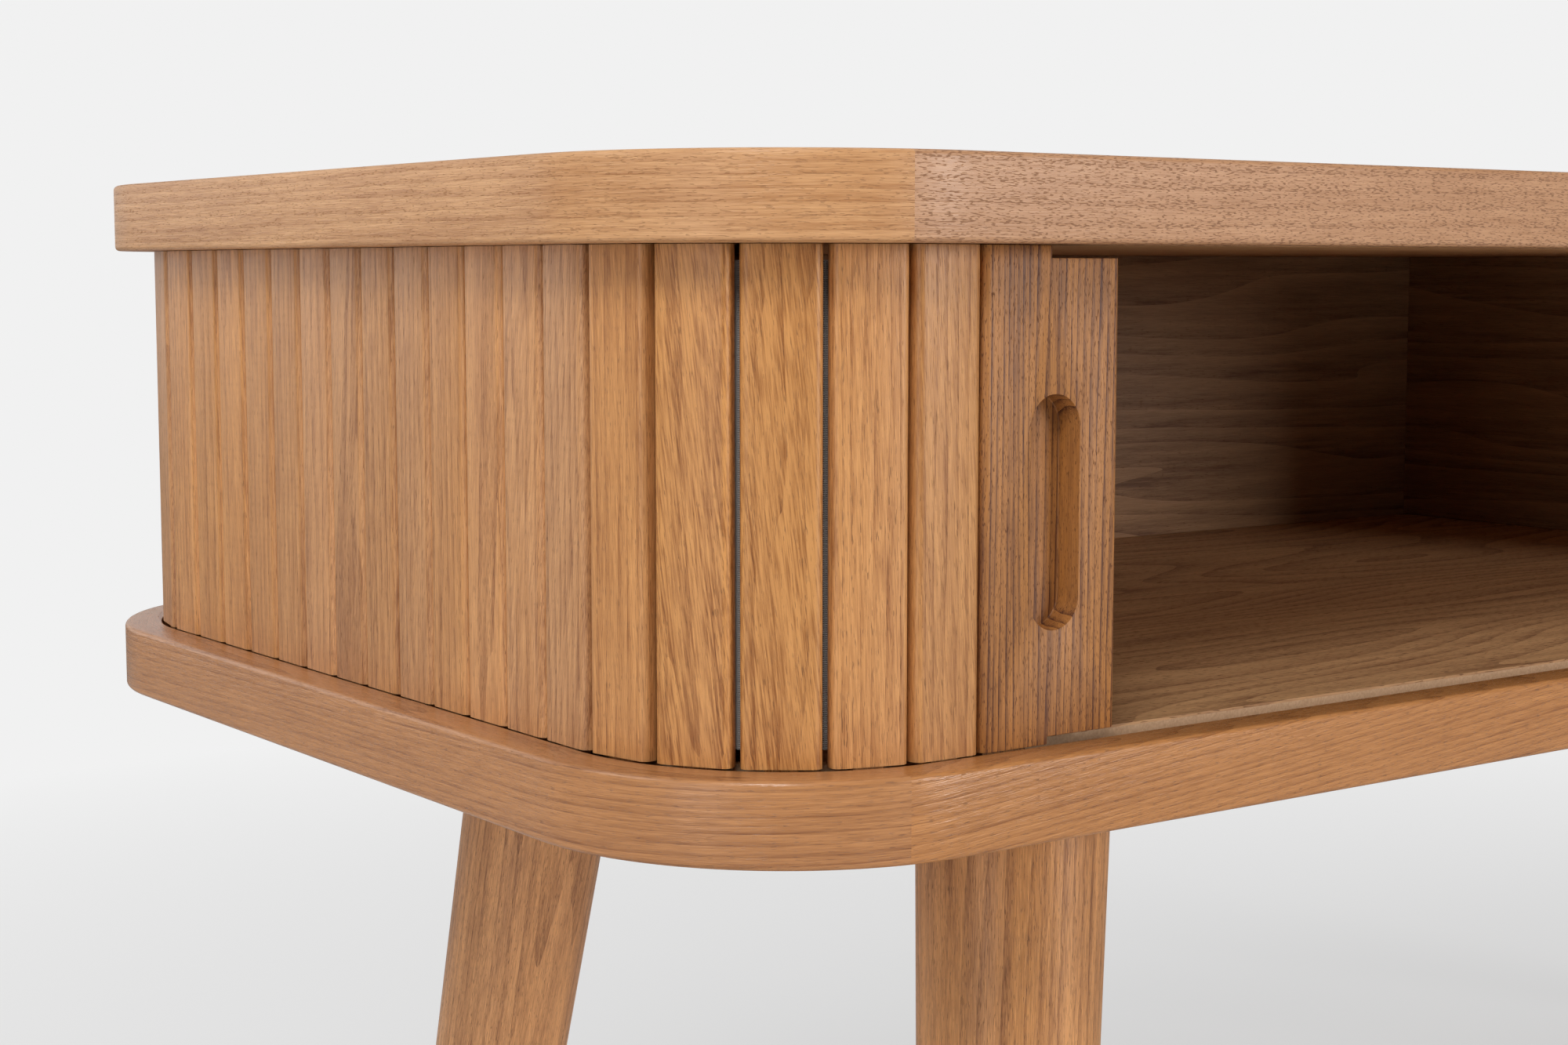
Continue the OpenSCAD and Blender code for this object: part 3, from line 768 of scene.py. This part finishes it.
side_last = corner_slats + side_slats
back_first = side_last + corner_slats + 1
for i in range(1, corner_slats + 1):
    for corner, number in (("front", i), ("back", side_last + i)):
        body = f"{corner}_corner_slat_{i}"
        make_slats(f"slat_{corner}_corner_{i}", number, number, body, body)
make_slats("slats_side", corner_slats + 1, side_last, "side_run", "side_slats")
make_slats("slats_back", back_first, door_slats, "back_run", "back_slats")
make_slats("fixed_front", 1, corner_slats, "cabinet", "fixed_slats_front", True)
make_slats("fixed_side", corner_slats + 1, side_last, "cabinet", "fixed_slats_side", True)
make_slats("fixed_back", side_last + 1, back_first, "cabinet", "fixed_slats_back", True)


# ---------------------------------------------------------------- Canvas
# Unbleached linen canvas glued to the slats' backs. It shows as a pale woven strip where two slats
# open like a fan at the corner, and stops short of both panels.
# A plain weave of pale undyed thread, with painted shade that turns it grey where a thread dips
thread = 0.45 * MM
linen, tree, output = new_material("linen canvas")
where = add_node(tree, "ShaderNodeTexCoord").outputs["Object"]
x, y, z = add_node(tree, "ShaderNodeSeparateXYZ", {0: where}).outputs
rows = add_node(tree, "ShaderNodeMath", {0: z, 1: 2 * math.pi / thread}, operation="MULTIPLY")
weft = add_node(tree, "ShaderNodeMath", {0: rows}, operation="SINE")
level = add_node(tree, "ShaderNodeMath", {0: x, 1: y}, operation="ADD")
columns = add_node(tree, "ShaderNodeMath", {0: level, 1: 2 * math.pi / thread},
                   operation="MULTIPLY")
warp = add_node(tree, "ShaderNodeMath", {0: columns}, operation="SINE")
crossing = add_node(tree, "ShaderNodeMath", {0: weft, 1: warp}, operation="MULTIPLY")
weave = add_node(tree, "ShaderNodeMath", {0: crossing, 1: weft}, operation="ADD")
lift = add_node(tree, "ShaderNodeMapRange", {"Value": weave, "From Min": -2.0, "From Max": 2.0})
cloth_with_painted_shade = add_node(tree, "ShaderNodeMix",
                 {"Factor": lift, 6: linear("#5f5b57"), 7: linear("#b3aea9")}, data_type="RGBA")
relief = add_node(tree, "ShaderNodeBump", {"Height": lift, "Strength": 0.8, "Distance": 0.2 * MM})
shader = add_node(tree, "ShaderNodeBsdfPrincipled",
                  {"Base Color": cloth_with_painted_shade.outputs[2], "Roughness": 0.9, "Normal": relief})
tree.links.new(shader.outputs[0], output.inputs[0])
for name, node in nodes.items():
    if "canvas" in name:
        node.data.materials.clear()
        node.data.materials.append(linen)


# ---------------------------------------------------------------- Lead slat
# One wider and thicker piece of ash with a strong dark figure. A round-ended grip is milled into
# its face, the canvas ends on its thin heel, and past the groove it is notched clear of both
# panels.
lead_heel = 12 * MM
lead_t = 12 * MM
lead_shoulder = 18.4 * MM
lead_gap_low = 1.9 * MM
lead_gap_high = 2.9 * MM
lead_ease = 1.2 * MM
grip_w = 13.9 * MM
grip_h = 50.6 * MM
grip_depth = 6.7 * MM
grip_x = 19.9 * MM
grip_z = 50.2 * MM
grip_round = 0.3 * MM
grip_steps = 24
round_steps = 6
lead_tongue_w = 12 * MM
broken_edge = 0.2 * MM
sharp_edge = math.radians(50)
past = 5 * MM  # how far a cutting shape reaches past the piece
lead_board = 7.3
lead_low, lead_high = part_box("lead_slat")


def rectangle(left, right, front, back):
    """The corners of a rectangle seen from above."""
    return [(left, front), (right, front), (right, back), (left, back)]


def prism(name, outline, low, high):
    """A closed upright prism over an outline of (x, y) points."""
    vertices = [(x, y, z) for z in (low, high) for x, y in outline]
    return new_object(name, vertices, shell_faces(2, len(outline)))


def apply_boolean(piece, tool, operation):
    """Cuts the tool out of the piece, or joins it on, and takes the tool away."""
    modifier = piece.modifiers.new("cut", "BOOLEAN")
    modifier.object = tool
    modifier.operation = operation
    modifier.solver = "EXACT"
    apply_modifiers(piece)
    bpy.data.objects.remove(tool)


def apply_modifiers(piece):
    """Turns the piece and its modifiers into a plain mesh."""
    depsgraph = bpy.context.evaluated_depsgraph_get()
    depsgraph.update()
    mesh = bpy.data.meshes.new_from_object(piece.evaluated_get(depsgraph))
    piece.modifiers.clear()
    old = piece.data
    piece.data = mesh
    bpy.data.meshes.remove(old)


face_y = lead_low.y
back_y = face_y + lead_t
heel_y = face_y + slat_t
plan = arc(lead_low.x + slat_ease, face_y + slat_ease, slat_ease, 180, 270)
plan += arc(lead_high.x - lead_ease, face_y + lead_ease, lead_ease, 270, 360)
plan += arc(lead_high.x - lead_ease, back_y - lead_ease, lead_ease, 0, 90)
plan += [(lead_low.x + lead_heel, back_y), (lead_low.x + lead_heel, heel_y), (lead_low.x, heel_y)]
lead = prism("lead_stile", plan, floor_z + shoulder_gap, ceiling_z - shoulder_gap)
notch = rectangle(lead_low.x + lead_shoulder, lead_high.x + past, face_y - past, back_y + past)
for low, high in ((floor_z - past, floor_z + lead_gap_low),
                  (ceiling_z - lead_gap_high, ceiling_z + past)):
    apply_boolean(lead, prism("notch", notch, low, high), "DIFFERENCE")


def grip_tool():
    """The shape of the milling bit's path: a round-ended slot with a rounded floor."""
    rings = [(0.0, -past), (0.0, grip_depth - grip_round)]
    for i in range(1, round_steps + 1):
        angle = math.radians(90 * i / round_steps)
        rings.append((grip_round * (1 - math.cos(angle)),
                      grip_depth - grip_round * (1 - math.sin(angle))))
    reach = (grip_h - grip_w) / 2
    vertices = []
    for shrink, into in rings:
        radius = grip_w / 2 - shrink
        for end, start in ((1, 0), (-1, 180)):
            for i in range(grip_steps + 1):
                angle = math.radians(start + 180 * i / grip_steps)
                vertices.append((lead_low.x + grip_x + radius * math.cos(angle), face_y + into,
                                 floor_z + grip_z + end * reach + radius * math.sin(angle)))
    tool = new_object("grip_tool", vertices, shell_faces(len(rings), 2 * (grip_steps + 1)))
    face_outward(tool)
    return tool


apply_boolean(lead, grip_tool(), "DIFFERENCE")
bevel = lead.modifiers.new("broken edges", "BEVEL")
bevel.width = broken_edge
bevel.segments = 2
bevel.limit_method = "ANGLE"
bevel.angle_limit = sharp_edge
apply_modifiers(lead)
tongue_x = lead_low.x + (slat_pitch + lead_heel) / 4 - lead_tongue_w / 2
tongue_y = heel_y - tongue_set
tongue = rectangle(tongue_x, tongue_x + lead_tongue_w, tongue_y - tongue_t, tongue_y)
apply_boolean(lead, prism("tongue", tongue, lead_low.z, lead_high.z), "UNION")
set_grain(lead, grain_along(lead, "zxy"), lead_board)
# Close dark rings that fade in and out, as on a slow-grown plank, under a duller lacquer
lead_ash = timber("lacquered ash, dark figure", "#b37534", "#5b3019", "#542e1a", ring_mm=2.0,
                  ring_depth=0.85, ring_sharp=3.2, ring_fade=2.6, wander_mm=14.0,
                  wander_long_mm=260, wander_wide_mm=16, fibre=1.5, clouds=1.5, cover=0.36,
                  pore_long_mm=1.2, pore_wide_mm=0.2, roughness=0.5, board_range=0.0)
finish_piece(lead, lead_ash, "lead", "lead_slat")


# ---------------------------------------------------------------- Battens
# Two square ash battens between the panels: the closed door stops against one, in front of the
# middle wall, and the fixed slats begin at the other.
batten_ease = 0.8 * MM
for node, board in (("strike_batten", 41), ("end_batten", 43)):
    batten = make_block("batten_" + node, node, batten_ease, "zxy", board, slat_ash)


# ---------------------------------------------------------------- Legs
# Round ash legs, turned to an even taper, leaning out towards the corners, and sawn level at both
# ends. A bolt holds each under the bottom panel, and each stands on a felt glide.
leg_x = 134.9 * MM
leg_y = 66.9 * MM
leg_top_d = 48 * MM
leg_foot_d = 32 * MM
splay = math.radians(9.05)
glide_h = 3 * MM
foot_ease = 1.2 * MM
foot_steps = 4
leg_sides = 72
leg_levels = 30
# Turned across the rings, so that they show as long narrow bands down the leg
# Both colours are lightened by a tenth: painted light that makes up for the bottom panel's shade on
# the legs
leg_ash_with_painted_light = timber("lacquered ash, turned, painted light", "#e4a363", "#8f5830", "#5b3a22", ring_mm=3.0,
                 ring_depth=0.3, ring_fade=1.4, wander_mm=8.0, wander_long_mm=300, wander_wide_mm=10,
                 fibre=1.5, clouds=1.2, cover=0.34, pore_long_mm=2.2, pore_wide_mm=0.16,
                 pore_depth=0.55, board_range=0.1, sawn_per_board=1.3)


def make_leg(place, flip_x, flip_y, board):
    """A tapered leg, cut level at both ends, with its foot's edge rounded."""
    top = Vector((-width / 2 + leg_x, -depth / 2 + leg_y, underside_z))
    lean = math.sin(splay) * math.sqrt(0.5)
    axis = Vector((-lean, -lean, -math.cos(splay)))
    side = axis.cross(Vector((0, 0, 1))).normalized()
    other = axis.cross(side).normalized()
    taper = (leg_foot_d - leg_top_d) / 2 * math.cos(splay) / underside_z
    levels = [(underside_z + (glide_h - underside_z) * i / leg_levels, 0) for i in range(leg_levels)]
    for i in range(foot_steps + 1):
        angle = math.radians(90 * i / foot_steps)
        levels.append((glide_h + foot_ease * (1 - math.sin(angle)),
                       foot_ease * (1 - math.cos(angle))))
    vertices, grain = [], []
    for z, shrink in levels:
        for i in range(leg_sides):
            angle = 2 * math.pi * i / leg_sides
            out = side * math.cos(angle) + other * math.sin(angle)
            # The point of the cone on this side that lies at the level z
            base = top + out * leg_top_d / 2
            slide = axis + out * taper
            length = (z - base.z) / slide.z
            point = base + slide * length - out * shrink
            vertices.append((point.x * flip_x, point.y * flip_y, z))
            spread = leg_top_d / 2 + taper * length
            grain.append((length, spread * math.cos(angle), spread * math.sin(angle)))
    piece = new_object("turned_leg_" + place, vertices, shell_faces(len(levels), leg_sides))
    set_grain(piece, grain, board)
    face_outward(piece)
    finish_piece(piece, leg_ash_with_painted_light, "cabinet", "leg_" + place)


for flip_x, across in ((1, "left"), (-1, "right")):
    for flip_y, along in ((1, "front"), (-1, "back")):
        make_leg(f"{along}_{across}", flip_x, flip_y, 51 + flip_x + 3 * flip_y)


# ---------------------------------------------------------------- Fittings
# Zinc-plated steel bolts, which hold the legs under the bottom panel and are hidden in them, and
# pressed felt glides, stuck under the legs' feet.
# Bright grey plating in patches about 2.5 mm across, some duller than others
spangles_per_metre = 400.0
zinc, tree, output = new_material("zinc-plated steel")
where = add_node(tree, "ShaderNodeTexCoord").outputs["Object"]
stain = add_node(tree, "ShaderNodeTexNoise",
                 {"Vector": where, "Scale": spangles_per_metre, "Detail": 3.0})
worn = add_node(tree, "ShaderNodeMapRange", {"Value": stain, "To Min": 0.25, "To Max": 0.45})
shader = add_node(tree, "ShaderNodeBsdfPrincipled",
                  {"Base Color": linear("#b9bbbd"), "Metallic": 1.0, "Roughness": worn})
tree.links.new(shader.outputs[0], output.inputs[0])
# Dark tangled wool, drawn with hairs of 0.4 mm, because a real one is too fine to show
hairs_per_metre = 2500.0
felt, tree, output = new_material("pressed felt")
where = add_node(tree, "ShaderNodeTexCoord").outputs["Object"]
fuzz = add_node(tree, "ShaderNodeTexNoise",
                {"Vector": where, "Scale": hairs_per_metre, "Detail": 4.0})
wool = add_node(tree, "ShaderNodeMix",
                {"Factor": fuzz, 6: linear("#4a4541"), 7: linear("#7a736c")}, data_type="RGBA")
pile = add_node(tree, "ShaderNodeBump", {"Height": fuzz, "Strength": 0.8, "Distance": 0.3 * MM})
shader = add_node(tree, "ShaderNodeBsdfPrincipled",
                  {"Base Color": wool.outputs[2], "Roughness": 0.95, "Normal": pile})
tree.links.new(shader.outputs[0], output.inputs[0])
for name, node in nodes.items():
    if name.startswith(("bolt_", "glide_")):
        node.data.materials.clear()
        node.data.materials.append(zinc if name.startswith("bolt_") else felt)
